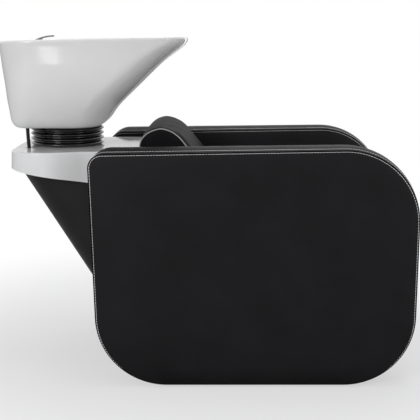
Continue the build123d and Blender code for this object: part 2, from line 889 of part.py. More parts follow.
# Lift-out hair strainer: a rim, a pierced cup and a knob
with BuildPart() as strainer:
    with BuildSketch(Plane.XY.offset(strainer_seat)):
        with Locations((drain_x, 0)):
            Circle(strainer_radius)
    extrude(amount=strainer_wall)
    with BuildSketch(Plane.XY.offset(strainer_seat)):
        with Locations((drain_x, 0)):
            Circle(strainer_cup_radius)
    extrude(amount=-strainer_cup_depth)
    with BuildSketch(Plane.XY.offset(strainer_seat - strainer_cup_depth + strainer_wall)):
        with Locations((drain_x, 0)):
            Circle(strainer_cup_radius - strainer_wall)
    extrude(amount=2 * strainer_cup_depth, mode=Mode.SUBTRACT)
    with BuildSketch(Plane.XY.offset(strainer_seat - strainer_cup_depth)):
        with Locations((drain_x, 0)):
            with PolarLocations(strainer_hole_circle, strainer_hole_count):
                Circle(strainer_hole_radius)
    extrude(amount=strainer_wall, mode=Mode.SUBTRACT)
    with BuildSketch(Plane.XY.offset(strainer_seat - strainer_cup_depth)):
        with Locations((drain_x, 0)):
            Circle(strainer_knob_radius)
    extrude(amount=strainer_cup_depth + strainer_knob_height)
    fillet(strainer.faces().sort_by(Axis.Z)[-1].edges(), strainer_knob_radius / 2)
strainer.part.label = "strainer"
export_step(strainer.part, "parts/strainer.step")

# Fixed bracket of the tilt pivot, bolted on the head plate
with BuildPart() as tilt_bracket:
    with BuildSketch(Plane.XY.offset(head_plate_top)):
        with Locations((tilt_x, 0)):
            Rectangle(2 * bracket_half_length, 2 * bracket_half_width)
            with GridLocations(2 * bracket_bolt_x, 2 * bracket_bolt_y, 2, 2):
                Circle(bracket_bolt_radius + fit_gap, mode=Mode.SUBTRACT)
        with Locations((drain_x, 0)):
            Circle(bracket_hole_radius, mode=Mode.SUBTRACT)
    extrude(amount=bracket_thickness)
    for sign in sides.values():
        with BuildSketch(Plane.XZ.offset(-sign * bracket_ear_inner)):
            with Locations((tilt_x, tilt_z)):
                Circle(ear_radius)
                Rectangle(2 * ear_radius, tilt_z - bracket_base_top, align=(Align.CENTER, Align.MAX))
                Circle(pivot_radius + running_gap, mode=Mode.SUBTRACT)
        extrude(amount=-sign * ear_thickness)
tilt_bracket.part.label = "tilt_bracket"
export_step(tilt_bracket.part, "parts/tilt_bracket.step")

with BuildPart() as bracket_bolts:
    with BuildSketch(Plane.XY.offset(bracket_base_top)):
        with Locations((tilt_x, 0)):
            with GridLocations(2 * bracket_bolt_x, 2 * bracket_bolt_y, 2, 2):
                RegularPolygon(bracket_bolt_head, 6)
    extrude(amount=bracket_bolt_head_height)
    with BuildSketch(Plane.XY.offset(bracket_base_top)):
        with Locations((tilt_x, 0)):
            with GridLocations(2 * bracket_bolt_x, 2 * bracket_bolt_y, 2, 2):
                Circle(bracket_bolt_radius)
    extrude(amount=-bracket_thickness - head_plate_thickness)
bracket_bolts.part.label = "bracket_bolts"
export_step(bracket_bolts.part, "parts/bracket_bolts.step")

# Pivot bolts with their nuts, and a friction washer between each pair of ears
with BuildPart() as pivot_bolts:
    for sign in sides.values():
        with BuildSketch(Plane.XZ.offset(-sign * cradle_ear_inner)):
            with Locations((tilt_x, tilt_z)):
                RegularPolygon(pivot_head_radius, 6)
        extrude(amount=sign * pivot_head_height)
        with BuildSketch(Plane.XZ.offset(-sign * cradle_ear_inner)):
            with Locations((tilt_x, tilt_z)):
                Circle(pivot_radius)
        extrude(amount=-sign * (bracket_ear_outer + pivot_nut_height + pivot_tail - cradle_ear_inner))
pivot_bolts.part.label = "pivot_bolts"
export_step(pivot_bolts.part, "parts/pivot_bolts.step")

with BuildPart() as pivot_nuts:
    for sign in sides.values():
        with BuildSketch(Plane.XZ.offset(-sign * bracket_ear_outer)):
            with Locations((tilt_x, tilt_z)):
                RegularPolygon(pivot_head_radius, 6)
                Circle(pivot_radius + running_gap, mode=Mode.SUBTRACT)
        extrude(amount=-sign * pivot_nut_height)
pivot_nuts.part.label = "pivot_nuts"
export_step(pivot_nuts.part, "parts/pivot_nuts.step")

with BuildPart() as friction_washers:
    for sign in sides.values():
        with BuildSketch(Plane.XZ.offset(-sign * (bracket_ear_inner - washer_thickness - running_gap))):
            with Locations((tilt_x, tilt_z)):
                Circle(washer_radius)
                Circle(pivot_radius + running_gap, mode=Mode.SUBTRACT)
        extrude(amount=-sign * washer_thickness)
friction_washers.part.label = "friction_washers"
export_step(friction_washers.part, "parts/friction_washers.step")

# Rubber bellows round the tilt mechanism, from the collar to the edge of the cradle
with BuildPart() as bellows:
    with BuildSketch(Plane.XZ):
        with BuildLine():
            foot = collar_top + fit_gap
            cuff_end = foot + bellows_cuff_height
            outer = [(bellows_cuff_radius, foot), (bellows_cuff_radius, cuff_end)]
            for fold in range(bellows_count):
                peak_z = cuff_end + (fold + 0.5) * bellows_pitch
                outer.append((bellows_peak_radius, peak_z))
                if fold < bellows_count - 1:
                    outer.append((bellows_valley_radius, peak_z + bellows_pitch / 2))
            top_radius = cradle_radius + fit_gap + bellows_wall
            outer.append((top_radius, cradle_bottom))
            outer.append((top_radius, cradle_top))
            inner = [(radius - bellows_wall, z) for radius, z in reversed(outer)]
            wall_radii = [bellows_fold_radius] * len(outer)
            wall_radii[0] = wall_radii[-1] = 0
            FilletPolyline(
                *[(tilt_x + radius, z) for radius, z in outer + inner],
                radius=wall_radii + wall_radii,
                close=True,
            )
        make_face()
    revolve(axis=Axis((tilt_x, 0, 0), (0, 0, 1)))
bellows.part.label = "bellows"
export_step(bellows.part, "parts/bellows.step")

# Head plate on top of the two leaning posts
with BuildPart() as head_plate:
    with BuildSketch(Plane.XY.offset(head_plate_top - head_plate_thickness)):
        with Locations(((head_plate_rear + head_plate_front) / 2, 0)):
            RectangleRounded(
                head_plate_front - head_plate_rear,
                2 * head_plate_half_width,
                head_plate_corner,
            )
        with Locations(((head_window_rear + head_window_front) / 2, 0)):
            Rectangle(
                head_window_front - head_window_rear,
                2 * head_window_half_width,
                mode=Mode.SUBTRACT,
            )
        with Locations((drain_x, 0)):
            Circle(bracket_hole_radius, mode=Mode.SUBTRACT)
        with Locations((tilt_x, 0)):
            with GridLocations(2 * bracket_bolt_x, 2 * bracket_bolt_y, 2, 2):
                Circle(bracket_bolt_radius + thread_gap, mode=Mode.SUBTRACT)
    extrude(amount=head_plate_thickness)
head_plate.part.label = "head_plate"
export_step(head_plate.part, "parts/head_plate.step")

# Two leaning box posts between the floor plate and the head plate
for side, sign in sides.items():
    with BuildPart() as post:
        for inset, mode in ((0, Mode.ADD), (post_wall, Mode.SUBTRACT)):
            half_depth = post_depth / 2 - inset
            with BuildSketch(Plane.XZ.offset(-sign * post_y)):
                with BuildLine():
                    Polyline(
                        (post_foot_x - half_depth, floor_plate_thickness),
                        (post_foot_x + half_depth, floor_plate_thickness),
                        (post_head_x + half_depth, head_plate_top - head_plate_thickness),
                        (post_head_x - half_depth, head_plate_top - head_plate_thickness),
                        close=True,
                    )
                make_face()
            extrude(amount=post_width / 2 - inset, both=True, mode=mode)
    post.part.label = f"{side}_post"
    export_step(post.part, f"parts/{side}_post.step")

# Floor plate with its anchor holes and a cut-out for the pipes
with BuildPart() as floor_plate:
    with BuildSketch():
        with Locations(((floor_plate_rear + floor_plate_front) / 2, 0)):
            RectangleRounded(
                floor_plate_front - floor_plate_rear,
                2 * floor_plate_half_width,
                floor_plate_corner,
            )
            with GridLocations(
                floor_plate_front - floor_plate_rear - 2 * anchor_inset,
                2 * (floor_plate_half_width - anchor_inset),
                2,
                2,
            ):
                Circle(anchor_hole_radius, mode=Mode.SUBTRACT)
        with Locations((service_x, 0)):
            Rectangle(2 * service_half_length, 2 * service_half_width, mode=Mode.SUBTRACT)
    extrude(amount=floor_plate_thickness)
floor_plate.part.label = "floor_plate"
export_step(floor_plate.part, "parts/floor_plate.step")

# Leaning shroud round the posts, open at its top and foot
with BuildPart() as shroud:
    with BuildSketch(Plane.XZ):
        with BuildLine():
            Polyline(
                (shroud_top_rear, shroud_top),
                (shroud_foot_rear, floor_plate_thickness),
                (shroud_foot_front, floor_plate_thickness),
                (shroud_front, shroud_knee),
                (shroud_front, shroud_top),
                close=True,
            )
        make_face()
    extrude(amount=shroud_half_width, both=True)
    upright_edges = [
        edge for edge in shroud.edges() if abs(abs(edge.center().Y) - shroud_half_width) < fit_gap
    ]
    rear_edges = [edge for edge in upright_edges if edge.length > shroud_top]
    front_edges = [
        edge
        for edge in upright_edges
        if edge.length <= shroud_top and abs(edge.start_point().Z - edge.end_point().Z) > shroud_front_radius
    ]
    fillet(rear_edges, shroud_rear_radius)
    fillet(front_edges, shroud_front_radius)
    offset(
        amount=-shroud_wall,
        openings=[shroud.faces().sort_by(Axis.Z)[-1], shroud.faces().sort_by(Axis.Z)[0]],
    )
shroud.part.label = "shroud"
export_step(shroud.part, "parts/shroud.step")

# Collar: a moulded cover with a flared skirt, its foot cut to a slope
with BuildPart() as collar:
    for wall, mode in ((0, Mode.ADD), (collar_wall, Mode.SUBTRACT)):
        for z, grow in ((collar_top - wall, -wall), (collar_skirt_low, collar_flare - wall)):
            with BuildSketch(Plane.XY.offset(z)):
                with BuildLine():
                    FilletPolyline(
                        *collar_points(grow, back_rear - wall),
                        radius=collar_radii(),
                        close=True,
                    )
                make_face()
        loft(mode=mode)
        if mode == Mode.ADD:
            fillet(collar.faces().sort_by(Axis.Z)[-1].outer_wire().edges(), collar_edge_radius)
    with BuildSketch(Plane.XZ):
        with BuildLine():
            Polyline(
                (collar_rear, collar_skirt_rear),
                (back_rear, collar_skirt_front),
                (back_rear + 2 * cut_over, collar_skirt_front),
                (back_rear + 2 * cut_over, collar_skirt_low - cut_over),
                (collar_rear - 2 * cut_over, collar_skirt_low - cut_over),
                (collar_rear - 2 * cut_over, collar_skirt_rear),
                close=True,
            )
        make_face()
    extrude(amount=panel_gap, both=True, mode=Mode.SUBTRACT)
    with BuildSketch(Plane.XY.offset(collar_top - collar_wall)):
        with Locations(*collar_boss_places):
            Circle(collar_boss_radius)
    extrude(amount=-(collar_top - collar_wall - head_plate_top))
    with BuildSketch(Plane.XY.offset(collar_top)):
        with Locations((tilt_x, 0)):
            Circle(collar_opening_radius)
        with Locations((grommet_x, spray_y)):
            Circle(grommet_radius + fit_gap)
    extrude(amount=-2 * collar_wall, mode=Mode.SUBTRACT)
collar.part.label = "collar"
export_step(collar.part, "parts/collar.step")

with BuildPart() as hose_grommet:
    with BuildSketch(Plane.XY.offset(collar_top - grommet_height)):
        with Locations((grommet_x, spray_y)):
            Circle(grommet_radius)
            Circle(spray_hose_radius + fit_gap, mode=Mode.SUBTRACT)
    extrude(amount=grommet_height)
hose_grommet.part.label = "hose_grommet"
export_step(hose_grommet.part, "parts/hose_grommet.step")

# Mixer: a base ring, the body with its shank, and the nut under the deck
with BuildPart() as mixer_ring:
    with BuildSketch(Plane.XY.offset(deck_z)):
        with Locations((mixer_x, 0)):
            Circle(mixer_flange_radius)
            Circle(mixer_shank_radius + thread_gap, mode=Mode.SUBTRACT)
    extrude(amount=mixer_flange_height)
    fillet(mixer_ring.faces().sort_by(Axis.Z)[-1].outer_wire().edges(), mixer_flange_height / 4)
mixer_ring.part.label = "mixer_ring"
export_step(mixer_ring.part, "parts/mixer_ring.step")

with BuildPart() as mixer_body:
    with BuildSketch(Plane.XZ):
        with BuildLine():
            Polyline(
                (mixer_x, deck_z - mixer_shank_length),
                (mixer_x + mixer_shank_radius, deck_z - mixer_shank_length),
                (mixer_x + mixer_shank_radius, deck_z + mixer_flange_height),
                (mixer_x + mixer_column_foot_radius, deck_z + mixer_flange_height),
            )
            ThreePointArc(
                (mixer_x + mixer_column_foot_radius, deck_z + mixer_flange_height),
                (mixer_x + mixer_column_waist_radius, (deck_z + mixer_column_top) / 2),
                (mixer_x + mixer_column_radius, mixer_column_top),
            )
            Polyline(
                (mixer_x + mixer_column_radius, mixer_column_top),
                (mixer_x, mixer_column_top),
                (mixer_x, deck_z - mixer_shank_length),
            )
        make_face()
    revolve(axis=Axis((mixer_x, 0, 0), (0, 0, 1)))
mixer_body.part.label = "mixer_body"
export_step(mixer_body.part, "parts/mixer_body.step")

with BuildPart() as mixer_nut:
    with BuildSketch(Plane.XY.offset(deck_underside)):
        with Locations((mixer_x, 0)):
            RegularPolygon(mixer_nut_radius, 6)
            Circle(mixer_shank_radius + thread_gap, mode=Mode.SUBTRACT)
    extrude(amount=-mixer_nut_height)
mixer_nut.part.label = "mixer_nut"
export_step(mixer_nut.part, "parts/mixer_nut.step")

# Turret: a ball that turns on the body and carries the lever
with BuildPart() as mixer_turret:
    with Locations((mixer_x, 0, mixer_ball_z)):
        Sphere(mixer_ball_radius)
    split(bisect_by=Plane.XY.offset(mixer_ball_foot), keep=Keep.TOP)
mixer_turret.part.label = "mixer_turret"
export_step(mixer_turret.part, "parts/mixer_turret.step")

# Lever: a hood over the ball and a curved blade on a short stem
with BuildPart() as mixer_lever:
    with Locations((mixer_x, 0, mixer_ball_z)):
        Sphere(mixer_ball_radius + fit_gap + hood_thickness)
    with BuildSketch(Plane.XY.offset(mixer_ball_z)):
        with Locations((mixer_x, 0)):
            Circle(lever_stem_radius)
    extrude(amount=blade_middle[1] - blade_thickness)
    with Locations((mixer_x, 0, mixer_ball_z)):
        Sphere(mixer_ball_radius + fit_gap, mode=Mode.SUBTRACT)
    split(bisect_by=Plane.XY.offset(mixer_ball_z - hood_rim), keep=Keep.TOP)
    with BuildSketch(Plane.XZ):
        with BuildLine():
            blade_top = ThreePointArc(*blade_points)
            blade_foot = ThreePointArc(*[(x, z - blade_thickness) for x, z in blade_points])
            Line(blade_top @ 0, blade_foot @ 0)
            Line(blade_top @ 1, blade_foot @ 1)
        make_face()
    extrude(amount=blade_width / 2, both=True)
    fillet(mixer_lever.edges().filter_by(Axis.Z), blade_width / 4)
mixer_lever.part.label = "mixer_lever"
export_step(mixer_lever.part, "parts/mixer_lever.step")

# Bush for the spray handset, and its nut under the deck
with BuildPart() as spray_bush:
    with BuildSketch(Plane.XY.offset(deck_z)):
        with Locations((spray_x, spray_y)):
            Circle(bush_flange_radius)
    extrude(amount=bush_flange_height)
    fillet(spray_bush.faces().sort_by(Axis.Z)[-1].edges(), bush_flange_height / 4)
    with BuildSketch(Plane.XY.offset(deck_z)):
        with Locations((spray_x, spray_y)):
            Circle(bush_sleeve_radius)
    extrude(amount=-bush_sleeve_length)
    with BuildSketch(Plane.XY.offset(deck_z + bush_flange_height)):
        with Locations((spray_x, spray_y)):
            Circle(bush_bore)
    extrude(amount=-bush_flange_height - bush_sleeve_length, mode=Mode.SUBTRACT)
spray_bush.part.label = "spray_bush"
export_step(spray_bush.part, "parts/spray_bush.step")

with BuildPart() as bush_nut:
    with BuildSketch(Plane.XY.offset(deck_underside)):
        with Locations((spray_x, spray_y)):
            Circle(bush_flange_radius)
            Circle(bush_sleeve_radius + thread_gap, mode=Mode.SUBTRACT)
    extrude(amount=-bush_flange_height)
bush_nut.part.label = "bush_nut"
export_step(bush_nut.part, "parts/bush_nut.step")

# Handset: a tapered handle with a rounded head, cut flat for the spray face
with BuildPart() as spray_handle:
    with BuildSketch(Plane.XZ.offset(-spray_y)):
        with BuildLine():
            Polyline(
                (spray_x + spray_handle_radius, spray_neck_z),
                (spray_x + spray_handle_radius, deck_z),
                (spray_x + spray_handle_foot_radius, spray_handle_foot),
                (spray_x, spray_handle_foot),
                (spray_x, spray_head_z + spray_head_radius),
            )
            ThreePointArc(
                (spray_x, spray_head_z + spray_head_radius),
                (spray_x + spray_head_radius, spray_head_z),
                (spray_x + spray_handle_radius, spray_neck_z),
            )
        make_face()
    revolve(axis=Axis((spray_x, spray_y, 0), (0, 0, 1)))
    split(bisect_by=spray_face_plane, keep=Keep.BOTTOM)
spray_handle.part.label = "spray_handle"
export_step(spray_handle.part, "parts/spray_handle.step")

with BuildPart() as spray_face:
    with BuildSketch(spray_face_plane):
        Circle(spray_face_radius)
    extrude(amount=spray_face_thickness)
    fillet(
        spray_face.faces().filter_by(GeomType.PLANE).sort_by(Axis.X)[-1].edges(),
        spray_face_thickness / 2,
    )
spray_face.part.label = "spray_face"
export_step(spray_face.part, "parts/spray_face.step")

with BuildPart() as hose_nut:
    with BuildSketch(Plane.XY.offset(spray_handle_foot)):
        with Locations((spray_x, spray_y)):
            Circle(hose_nut_radius)
            Circle(spray_hose_radius + thread_gap, mode=Mode.SUBTRACT)
    extrude(amount=-hose_nut_height)
hose_nut.part.label = "hose_nut"
export_step(hose_nut.part, "parts/hose_nut.step")

# Stretch of the spray hose that rides up with the handset
with BuildPart() as spray_hose_upper:
    with BuildSketch(Plane.XY.offset(spray_handle_foot)):
        with Locations((spray_x, spray_y)):
            Circle(spray_hose_radius)
    extrude(amount=spray_hose_break - spray_handle_foot)
spray_hose_upper.part.label = "spray_hose_upper"
export_step(spray_hose_upper.part, "parts/spray_hose_upper.step")

# Hoses inside the plinth, each swept along its route
print("spray hose radii", [round(radius) for radius in bend_radii(spray_hose_route)])
with BuildPart() as spray_hose:
    with BuildLine():
        FilletPolyline(*spray_hose_route, radius=bend_radii(spray_hose_route))
    with BuildSketch(hose_profile_plane(spray_hose_route)):
        Circle(spray_hose_radius)
    sweep()
spray_hose.part.label = "spray_hose"
export_step(spray_hose.part, "parts/spray_hose.step")

for water, sign in (("hot", 1), ("cold", -1)):
    route = [(x, sign * y, z) for x, y, z in supply_hose_route]
    print(water, "hose radii", [round(radius) for radius in bend_radii(route)])
    with BuildPart() as supply_hose:
        with BuildLine():
            FilletPolyline(*route, radius=bend_radii(route))
        with BuildSketch(hose_profile_plane(route)):
            Circle(supply_hose_radius)
        sweep()
    supply_hose.part.label = f"{water}_hose"
    export_step(supply_hose.part, f"parts/{water}_hose.step")

    with BuildPart() as inlet:
        with BuildSketch():
            with Locations((service_x, sign * inlet_y)):
                Circle(inlet_radius)
        extrude(amount=inlet_top)
        with BuildSketch(Plane.XY.offset(pipe_collar_z)):
            with Locations((service_x, sign * inlet_y)):
                RegularPolygon(inlet_hex_radius, 6)
        extrude(amount=inlet_hex_height)
        with BuildSketch(Plane.XY.offset(inlet_top)):
            with Locations((service_x, sign * inlet_y)):
                Circle(ferrule_radius)
        extrude(amount=ferrule_height)
        with BuildSketch():
            with Locations((service_x, sign * inlet_y)):
                Circle(inlet_bore)
        extrude(amount=inlet_top - inlet_hex_height, mode=Mode.SUBTRACT)
    inlet.part.label = f"{water}_inlet"
    export_step(inlet.part, f"parts/{water}_inlet.step")

print("waste hose radii", [round(radius) for radius in bend_radii(waste_hose_route)])
with BuildPart() as waste_hose:
    with BuildLine():
        FilletPolyline(*waste_hose_route, radius=bend_radii(waste_hose_route))
    with BuildSketch(hose_profile_plane(waste_hose_route)):
        Circle(waste_hose_radius)
        Circle(waste_hose_bore, mode=Mode.SUBTRACT)
    sweep()
waste_hose.part.label = "waste_hose"
export_step(waste_hose.part, "parts/waste_hose.step")

with BuildPart() as waste_outlet:
    with BuildSketch():
        with Locations((service_x, 0)):
            Circle(outlet_radius)
            Circle(outlet_bore, mode=Mode.SUBTRACT)
    extrude(amount=outlet_top)
    with BuildSketch(Plane.XY.offset(pipe_collar_z)):
        with Locations((service_x, 0)):
            Circle(outlet_collar_radius)
            Circle(outlet_bore, mode=Mode.SUBTRACT)
    extrude(amount=inlet_hex_height)
waste_outlet.part.label = "waste_outlet"
export_step(waste_outlet.part, "parts/waste_outlet.step")

# Bracket that holds the three pipes above the floor plate
with BuildPart() as service_bracket:
    with BuildSketch(Plane.XY.offset(bracket_top - bracket_plate_thickness)):
        with Locations((service_x, 0)):
            Rectangle(2 * bracket_plate_half_length, 2 * bracket_plate_half_width)
            Circle(outlet_radius + fit_gap, mode=Mode.SUBTRACT)
            with GridLocations(0, 2 * inlet_y, 1, 2):
                Circle(inlet_radius + fit_gap, mode=Mode.SUBTRACT)
    extrude(amount=bracket_plate_thickness)
    for sign in sides.values():
        with BuildSketch(Plane.XZ.offset(-sign * bracket_plate_half_width)):
            with Locations((service_x, (floor_plate_thickness + bracket_top) / 2)):
                Rectangle(2 * bracket_plate_half_length, bracket_top - floor_plate_thickness)
        extrude(amount=sign * bracket_plate_thickness)
service_bracket.part.label = "service_bracket"
export_step(service_bracket.part, "parts/service_bracket.step")
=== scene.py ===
import math
import bmesh
import bpy
import numpy as np
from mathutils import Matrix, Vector
from mathutils.bvhtree import BVHTree


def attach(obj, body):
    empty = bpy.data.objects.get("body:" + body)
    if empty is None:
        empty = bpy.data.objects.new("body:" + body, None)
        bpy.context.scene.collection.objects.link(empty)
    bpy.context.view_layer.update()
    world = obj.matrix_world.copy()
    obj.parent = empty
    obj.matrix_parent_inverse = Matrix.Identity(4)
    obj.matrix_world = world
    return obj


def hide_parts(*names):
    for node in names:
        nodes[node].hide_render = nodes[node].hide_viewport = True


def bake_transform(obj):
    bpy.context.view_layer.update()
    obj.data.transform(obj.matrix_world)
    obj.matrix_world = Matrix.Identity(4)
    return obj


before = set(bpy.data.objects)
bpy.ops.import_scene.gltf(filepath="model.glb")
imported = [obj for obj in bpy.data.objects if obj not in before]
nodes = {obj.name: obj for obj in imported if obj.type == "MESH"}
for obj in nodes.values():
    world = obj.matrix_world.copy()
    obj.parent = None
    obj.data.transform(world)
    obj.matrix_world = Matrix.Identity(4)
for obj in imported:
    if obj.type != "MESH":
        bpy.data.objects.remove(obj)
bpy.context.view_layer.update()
scene = bpy.context.scene

# Sizes in metres, in the frame of the CAD
panel_middle_y = 0.292
panel_half = 0.050
panel_crown = 0.009
face_crown = 0.0046
face_row_inset = 0.0033
boxing_row_inset = 0.011
seam_shadow_inset = 0.0005
seam_shadow_radius = 0.0019
piping_half_width = 0.204
tilt_x = -0.4265
bellows_valley = 0.1015
bellows_fold_depth = 0.0098
bellows_bore = 0.0965
bellows_folds = 4


# ---- Materials
def grey(level, tint=0.0):
    """Linear colour of an sRGB grey, a little warmer or cooler by tint."""
    value = (level / 255) ** 2.2
    return (value * (1 + tint), value, value * (1 - tint), 1.0)


def surface(name, low, high, rough=(0.4, 0.5), metal=0.0, grain=None, wear_scale=6.0, coat=0.0,
            blotch=0.35, edge_highlight=0.0, shine=0.5):
    """A procedural finish: two colours mixed by soft blotches, uneven gloss, a grain bump, and, where an edge
    amount is given, a painted highlight on convex edges.
    """
    mat = bpy.data.materials.new(name)
    mat.use_nodes = True
    tree = mat.node_tree
    shader = next(n for n in tree.nodes if n.type == "BSDF_PRINCIPLED")
    coords = tree.nodes.new("ShaderNodeTexCoord")

    def noise(scale, detail=4.0, roughness=0.55, vector=None):
        node = tree.nodes.new("ShaderNodeTexNoise")
        node.inputs["Scale"].default_value = scale
        node.inputs["Detail"].default_value = detail
        node.inputs["Roughness"].default_value = roughness
        tree.links.new(vector or coords.outputs["Object"], node.inputs["Vector"])
        return node

    blotches = noise(wear_scale)
    ramp = tree.nodes.new("ShaderNodeValToRGB")
    ramp.color_ramp.elements[0].position = 0.5 - blotch / 2
    ramp.color_ramp.elements[1].position = 0.5 + blotch / 2
    ramp.color_ramp.elements[0].color = low
    ramp.color_ramp.elements[1].color = high
    tree.links.new(blotches.outputs["Fac"], ramp.inputs["Fac"])
    color = ramp.outputs["Color"]
    # Painted highlight: convex edges, found by pointiness, are made lighter by the edge amount.
    if edge_highlight:
        layer = tree.nodes.new("ShaderNodeNewGeometry")
        edge_highlight_ramp = tree.nodes.new("ShaderNodeValToRGB")
        edge_highlight_ramp.color_ramp.elements[0].position = 0.52
        edge_highlight_ramp.color_ramp.elements[1].position = 0.60
        edge_highlight_ramp.color_ramp.elements[0].color = (0, 0, 0, 1)
        edge_highlight_ramp.color_ramp.elements[1].color = (edge_highlight, edge_highlight, edge_highlight, 1)
        tree.links.new(layer.outputs["Pointiness"], edge_highlight_ramp.inputs["Fac"])
        mix = tree.nodes.new("ShaderNodeMixRGB")
        mix.blend_type = "ADD"
        mix.inputs["Fac"].default_value = 1.0
        tree.links.new(color, mix.inputs["Color1"])
        tree.links.new(edge_highlight_ramp.outputs["Color"], mix.inputs["Color2"])
        color = mix.outputs["Color"]
    tree.links.new(color, shader.inputs["Base Color"])
    streaks = noise(wear_scale * 4, 6.0, 0.6)
    gloss = tree.nodes.new("ShaderNodeMapRange")
    gloss.inputs["From Min"].default_value = 0.3
    gloss.inputs["From Max"].default_value = 0.7
    gloss.inputs["To Min"].default_value = rough[0]
    gloss.inputs["To Max"].default_value = rough[1]
    tree.links.new(streaks.outputs["Fac"], gloss.inputs["Value"])
    tree.links.new(gloss.outputs["Result"], shader.inputs["Roughness"])
    shader.inputs["Metallic"].default_value = metal
    shader.inputs["Coat Weight"].default_value = coat
    shader.inputs["Coat Roughness"].default_value = 0.06
    shader.inputs["Specular IOR Level"].default_value = shine
    if grain:
        kind, scale, depth = grain
        if kind == "pebble":
            source = tree.nodes.new("ShaderNodeTexVoronoi")
            source.feature = "SMOOTH_F1"
            source.inputs["Scale"].default_value = scale
            tree.links.new(coords.outputs["Object"], source.inputs["Vector"])
            height = source.outputs["Distance"]
        elif kind in ("braid", "ribs"):
            source = tree.nodes.new("ShaderNodeTexWave")
            source.wave_type = "BANDS"
            source.bands_direction = "DIAGONAL" if kind == "braid" else "Z"
            source.inputs["Scale"].default_value = scale
            source.inputs["Distortion"].default_value = 0.6 if kind == "braid" else 0
            tree.links.new(coords.outputs["Object"], source.inputs["Vector"])
            height = source.outputs["Fac"]
        elif kind == "wood":
            stretch = tree.nodes.new("ShaderNodeMapping")
            stretch.inputs["Scale"].default_value = (1, 12, 12)
            tree.links.new(coords.outputs["Object"], stretch.inputs["Vector"])
            source = noise(scale, 8.0, 0.7, stretch.outputs["Vector"])
            height = source.outputs["Fac"]
        else:
            source = noise(scale, 3.0, 0.6)
            height = source.outputs["Fac"]
        bump = tree.nodes.new("ShaderNodeBump")
        bump.inputs["Strength"].default_value = 1.0
        bump.inputs["Distance"].default_value = depth
        tree.links.new(height, bump.inputs["Height"])
        tree.links.new(bump.outputs["Normal"], shader.inputs["Normal"])
    return mat


pebble = ("pebble", 620, 0.00022)
vinyl = surface("black vinyl", (0.0046, 0.0040, 0.0049, 1), (0.0077, 0.0068, 0.0082, 1), (0.44, 0.56),
                grain=pebble, edge_highlight=0.003, shine=0.15)
# A slightly darker, less shiny copy of the black vinyl for the cushions, so that their crowns render darker
# than the panels: painted shade.
vinyl_shaded_copy = surface("black vinyl, darker copy for painted shade", (0.0044, 0.0038, 0.0047, 1), (0.0074, 0.0065, 0.0079, 1),
                        (0.52, 0.64), grain=pebble, edge_highlight=0.003, shine=0.07)
# Near-black cord for the seam grooves: painted shade for the shadow in the gap between the panels.
seam_shadow = surface("seam shadow, painted", grey(5), grey(9), (0.8, 0.9), grain=("braid", 900, 0.0001), shine=0.05)
thread = surface("pale thread", grey(216), grey(234), (0.6, 0.75), grain=("braid", 900, 0.0001))
piping = surface("grey piping", grey(158), grey(182), (0.4, 0.55), grain=("pebble", 620, 0.0002))
glaze = surface("white glaze", grey(222, 0.004), grey(232, 0.004), (0.04, 0.08), coat=0.5,
                grain=("noise", 55, 0.00012), wear_scale=3.0)
white_plastic = surface("gloss white plastic", grey(226), grey(236), (0.07, 0.13),
                        grain=("noise", 90, 0.00008), wear_scale=4.0, shine=0.3)
black_plastic = surface("matte black plastic", grey(24), grey(31), (0.42, 0.55),
                        grain=("noise", 900, 0.00012), shine=0.22)
gloss_black = surface("gloss black plastic", grey(26), grey(34), (0.12, 0.22), coat=0.3,
                      grain=("noise", 120, 0.00005))
grey_plastic = surface("grey plastic", grey(120), grey(142), (0.35, 0.5), grain=("noise", 400, 0.0001))
black_rubber = surface("black rubber", grey(8), grey(14), (0.16, 0.24), coat=0.5,
                       grain=("noise", 260, 0.0001))
foot_rubber = surface("foot rubber", grey(26), grey(40), (0.6, 0.8), grain=("noise", 300, 0.0002))
chrome = surface("polished chrome", grey(212), grey(226), (0.04, 0.12), 1.0,
                 grain=("noise", 150, 0.00003))
# The lever and turret take chrome darkened to grey 98-122: a painted reflection of dark surroundings in place
# of the chrome's own colour.
chrome_reflection_darkened = surface("chrome darkened for painted reflection", grey(98), grey(122), (0.20, 0.30), 1.0,
                      grain=("noise", 150, 0.00003))
zinc = surface("zinc plate", grey(150), grey(188), (0.28, 0.45), 1.0, grain=("noise", 200, 0.0001),
               wear_scale=30)
brass = surface("brass", (0.50, 0.34, 0.11, 1), (0.62, 0.44, 0.16, 1), (0.22, 0.38), 1.0,
                grain=("noise", 180, 0.0001), wear_scale=25)
coated_steel = surface("black powder coat", grey(34), grey(46), (0.4, 0.55),
                       grain=("noise", 700, 0.00015), edge_highlight=0.02)
plywood = surface("plywood", (0.36, 0.22, 0.11, 1), (0.50, 0.33, 0.17, 1), (0.55, 0.75),
                  grain=("wood", 18, 0.0004), wear_scale=14, blotch=0.6)
black_board = surface("black stained board", grey(20), grey(30), (0.5, 0.65), grain=("wood", 18, 0.0004),
                      wear_scale=14, shine=0.2)
fibre = surface("fibre washer", (0.20, 0.15, 0.08, 1), (0.30, 0.23, 0.12, 1), (0.7, 0.85),
                grain=("noise", 500, 0.0002))
steel_braid = surface("steel braid", grey(120), grey(170), (0.3, 0.45), 0.9, grain=("braid", 420, 0.0006))
dark_braid = surface("dark braid", grey(34), grey(52), (0.35, 0.5), 0.2, grain=("braid", 420, 0.0005))
grey_hose = surface("ribbed grey hose", grey(96), grey(120), (0.4, 0.55), grain=("ribs", 160, 0.0018))

